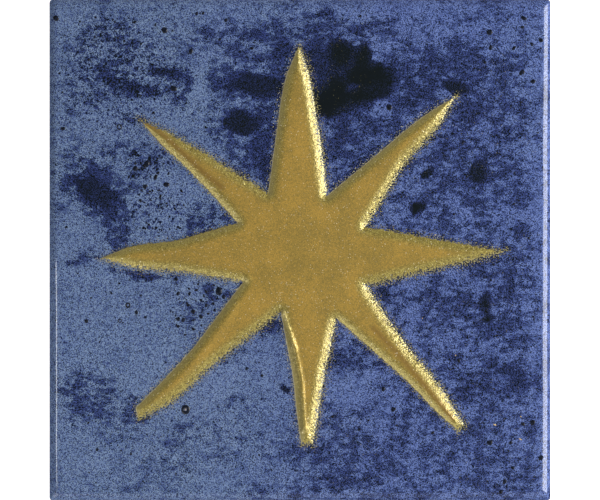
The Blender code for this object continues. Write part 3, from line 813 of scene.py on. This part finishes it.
def lay_copy(pattern, x, y, scale, turn):
    """Lays a copy of a small shape, with a mesh of its own, on the face at (x, y) in mm."""
    laid = bpy.data.objects.new(pattern.name, pattern.data.copy())
    bpy.context.scene.collection.objects.link(laid)
    laid.data.transform(Matrix.LocRotScale((x * MM, y * MM, FACE_LEVEL), Euler((0, 0, turn)), scale))
    return laid


def join(parts, name):
    """Joins like small parts into one piece."""
    bpy.ops.object.select_all(action="DESELECT")
    for part in parts:
        part.select_set(True)
    bpy.context.view_layer.objects.active = parts[0]
    bpy.ops.object.join()
    parts[0].name = name
    return parts[0]


# one speck as a closed dome 1 m in radius and height, which every speck is a squashed copy of
bpy.ops.object.select_all(action="DESELECT")
bpy.ops.mesh.primitive_uv_sphere_add(segments=SPECK_SIDES, ring_count=4, radius=1)
dome = bpy.context.object
dome.name = "molten_dome"
bpy.ops.object.mode_set(mode="EDIT")
bpy.ops.mesh.bisect(plane_co=(0, 0, -0.2), plane_no=(0, 0, -1), use_fill=True, clear_outer=True)
bpy.ops.object.mode_set(mode="OBJECT")


def speck(x, y, radius, chance):
    """One molten speck: a low dome, off round as the iron bled."""
    stretch = 1 + chance.uniform(-0.22, 0.22)
    scale = (radius * MM * stretch, radius * MM / stretch, SPECK_RISE)
    made = lay_copy(dome, x, y, scale, chance.uniform(0, math.pi))
    bleed = [1 + chance.uniform(-0.16, 0.16) for _ in range(SPECK_SIDES)]
    for vertex in made.data.vertices:
        away = Vector((vertex.co.x - x * MM, vertex.co.y - y * MM, 0))
        side = round(math.atan2(away.y, away.x) / math.tau * SPECK_SIDES) % SPECK_SIDES
        vertex.co += away * (bleed[side] - 1)
    return made


chance = random.Random(41)
specks_made = [speck(x, y, radius, chance) for x, y, radius in SPECKS]
for x, y, half_wide, half_high, count in SMALL_SPECKS:
    for _ in range(count):
        at_x = x + half_wide * chance.uniform(-1, 1)
        at_y = y + half_high * chance.uniform(-1, 1)
        radius = SMALL_RADIUS[0] + (SMALL_RADIUS[1] - SMALL_RADIUS[0]) * chance.random() ** 2
        if inside_star(np.array([[at_x * MM, at_y * MM]]))[0] < -STAR_CLEARANCE * MM:
            specks_made.append(speck(at_x, at_y, radius, chance))
specks = join(specks_made, "iron_specks")
bpy.ops.object.shade_smooth()

# Molten iron in glaze: a black glass, with a blue cast where it thins. It gives a wet black dot.
iron, tree, shader, place = new_material("iron_melt_in_glaze")
rust = add_node(tree, "TexNoise", {}, {"Vector": place, "Scale": 1 / IRON_CLOUD, "Detail": 2.0})
black = add_node(tree, "ValToRGB", {"stops": ((0.35, "#0E1218"), (0.7, "#1C2233"))}, {"Fac": rust})
fill_sockets(tree, shader, {"Base Color": black, "Roughness": 0.12, "IOR": 1.5})
specks.data.materials.append(iron)
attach(specks, "root")


# The pinholes. Gas from the clay broke through the molten coat and left little craters: a dark raised ring
# round a hollow, the widest with bare clay at its bottom.
PINHOLES = (
    # (x, y, ring radius, ring thickness) in mm
    (-36, 24.5, 0.42, 0.13), (-22.8, -31.8, 0.56, 0.32), (-34.3, -11, 0.36, 0.16), (-35.9, -14.1, 0.3, 0.1),
)
RING_STRETCH = 1.12          # the rings are a little longer than wide
RING_FLATNESS = 0.35
PIT = (-22.8, -31.8, 0.17, 0.06)   # the widest one's bottom: (x, y, radius, height) in mm
pinhole_rings = []
for x, y, ring_radius, thickness in PINHOLES:
    bpy.ops.mesh.primitive_torus_add(
        major_segments=28, minor_segments=8, major_radius=ring_radius * MM, minor_radius=thickness * MM,
        location=(x * MM, y * MM, FACE_LEVEL),
    )
    ring = bpy.context.object
    ring.scale = (1, RING_STRETCH, RING_FLATNESS)
    bpy.ops.object.transform_apply(location=True, rotation=True, scale=True)
    pinhole_rings.append(ring)
rings_piece = join(pinhole_rings, "pinhole_rings")
bpy.ops.object.shade_smooth()
rings_piece.data.materials.append(iron)
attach(rings_piece, "root")

x, y, radius, height = PIT
pit = lay_copy(dome, x, y, (radius * MM, radius * MM, height * MM), 0)
pit.name = "pinhole_bottom"
pit.data.materials.append(biscuit)
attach(pit, "root")


# The stray gold. A few dashes and dots of the gold powder fell on the coat while the star was painted,
# and were fired on with it.
FLECK_RISE = 0.04 * MM
GOLD_WEAR = 0.3              # mm, the paler and darker patches of a fleck
FLECKS = (
    # (x, y, half length, half width, turn in degrees) in mm
    (38.8, -34.8, 0.36, 0.11, -25), (43.9, -37.7, 0.38, 0.1, -30), (44, -33.2, 0.14, 0.12, 0),
    (31, -21, 0.13, 0.12, 0), (26.9, 3, 0.12, 0.1, 0), (24.4, -13.6, 0.1, 0.09, 0),
)
flecks_made = []
for x, y, half_long, half_wide, turn in FLECKS:
    scale = (half_long * MM, half_wide * MM, FLECK_RISE)
    flecks_made.append(lay_copy(dome, x, y, scale, math.radians(turn)))
flecks = join(flecks_made, "gold_flecks")
bpy.ops.object.shade_smooth()
bpy.data.objects.remove(dome)

# Fired gold in single grains: rough and bright, with no glaze over it.
loose_gold, tree, shader, place = new_material("loose_fired_gold")
worn = add_node(tree, "TexNoise", {}, {"Vector": place, "Scale": 1 / GOLD_WEAR, "Detail": 2.0})
bright = add_node(tree, "ValToRGB", {"stops": ((0.3, "#E0B860"), (0.7, "#F4DC94"))}, {"Fac": worn})
fill_sockets(tree, shader, {"Base Color": bright, "Metallic": 1.0, "Roughness": 0.45})
flecks.data.materials.append(loose_gold)
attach(flecks, "root")


# The studio, which isn't part of the tile: a white paper floor, a large soft lamp on the right, a weaker
# one at the lower left and a narrow strip on the left, under a pale sky that is dark straight above, where
# the camera hangs, and darker towards the upper left.

LAMPS = (
    # name, azimuth and height above the floor in degrees, distance, width and height in mm, and watts
    ("key_right", 5, 30, 500, 330, 470, 4.1),
    ("fill_lower_left", 232, 34, 600, 450, 450, 1.15),
)


def hang_lamp(name, place, way, wide, tall, spread, watts):
    """Hangs a lamp that shines back along way. Wide and tall are in mm, spread in degrees."""
    light = bpy.data.lights.new(name, "AREA")
    light.shape = "RECTANGLE"
    light.size = wide * MM
    light.size_y = tall * MM
    light.spread = math.radians(spread)
    light.energy = watts
    lamp = bpy.data.objects.new(name, light)
    bpy.context.scene.collection.objects.link(lamp)
    lamp.location = place
    lamp.rotation_euler = way.to_track_quat("Z", "Y").to_euler()
    lamp.visible_camera = False


aim = Vector((0, 0, FACE_LEVEL))
for name, azimuth, rise, distance, wide, tall, watts in LAMPS:
    turned = math.radians(azimuth)
    raised = math.radians(rise)
    flat = math.cos(raised)
    way = Vector((flat * math.cos(turned), flat * math.sin(turned), math.sin(raised)))
    hang_lamp(name, aim + way * distance * MM, way, wide, tall, 180, watts)
# the strip draws a thin gleam along the left edge of the glaze
strip_place = Vector((-0.100, -0.028, 0.122))
hang_lamp("strip_left", strip_place, strip_place - Vector((-0.050, -0.028, 0.007)), 50, 30, 14, 0.00035)

world = bpy.data.worlds.new("pale_studio")
bpy.context.scene.world = world
world.use_nodes = True
sky = world.node_tree
towards = add_node(sky, "TexCoord", {}, {})
up = add_node(sky, "SeparateXYZ", {}, {0: towards.outputs["Generated"]}).outputs["Z"]
bright = add_node(sky, "MapRange", {"interpolation_type": "SMOOTHSTEP"}, {
    "Value": up, "From Min": 0.78, "From Max": 0.97, "To Min": 0.50, "To Max": 0.10,
})
# the surroundings are darker at the upper left, so that side of the star's relief stays dark
lit_side = add_node(sky, "VectorMath", {"operation": "DOT_PRODUCT"}, {
    0: towards.outputs["Generated"], 1: (0.62, -0.78, 0.0),
})
low_light = add_node(sky, "MapRange", {"interpolation_type": "SMOOTHSTEP"}, {
    "Value": lit_side, "From Min": -0.45, "From Max": 0.45, "To Min": 0.30,
})
strength = add_node(sky, "Math", {"operation": "MULTIPLY"}, {0: bright, 1: low_light})
path = add_node(sky, "LightPath", {}, {})
seen = add_node(sky, "Mix", {"data_type": "FLOAT"}, {
    "Factor": path.outputs["Is Camera Ray"], "A": strength, "B": 0.9,
})
fill_sockets(sky, sky.nodes["Background"], {"Strength": seen, "Color": (1.0, 1.0, 1.0, 1.0)})

FLOOR_SIZE = 4.0             # metres
FLOOR_GAP = 0.02 * MM        # the tile's back clears the paper by this
bpy.ops.object.select_all(action="DESELECT")
bpy.ops.mesh.primitive_plane_add(size=FLOOR_SIZE, location=(0, 0, -FLOOR_GAP))
floor = bpy.context.object
floor.name = "studio_floor"
paper, tree, shader, place = new_material("matt_white_paper")
fill_sockets(tree, shader, {
    "Base Color": linear("#FAFAFA"), "Roughness": 0.9,
    "Emission Color": (1.0, 1.0, 1.0, 1.0), "Emission Strength": 0.74,
})
# in the glaze's mirror the paper is dark, or the tile's edges would be outlined in white
lit = add_node(tree, "BsdfDiffuse", {}, {"Color": linear("#3A3C42")})
path = add_node(tree, "LightPath", {}, {})
either = add_node(tree, "MixShader", {}, {0: path.outputs["Is Glossy Ray"], 1: shader, 2: lit})
fill_sockets(tree, tree.nodes["Material Output"], {"Surface": either})
floor.data.materials.append(paper)

# the camera hangs straight above, square to the face, so that the tile fills the frame's height
FRAME_WIDTH = 120 * MM
CAMERA_DISTANCE = 0.95       # metres
SENSOR_WIDTH = 36            # mm, as the lens is
camera_data = bpy.data.cameras.new("camera")
camera_data.sensor_width = SENSOR_WIDTH
camera_data.lens = SENSOR_WIDTH * CAMERA_DISTANCE / FRAME_WIDTH
camera_data.clip_start = 0.01
camera = bpy.data.objects.new("camera", camera_data)
camera.location = (0, 0, 4 * MM + CAMERA_DISTANCE)
bpy.context.scene.collection.objects.link(camera)
bpy.context.scene.camera = camera
bpy.context.scene.view_settings.view_transform = "Standard"
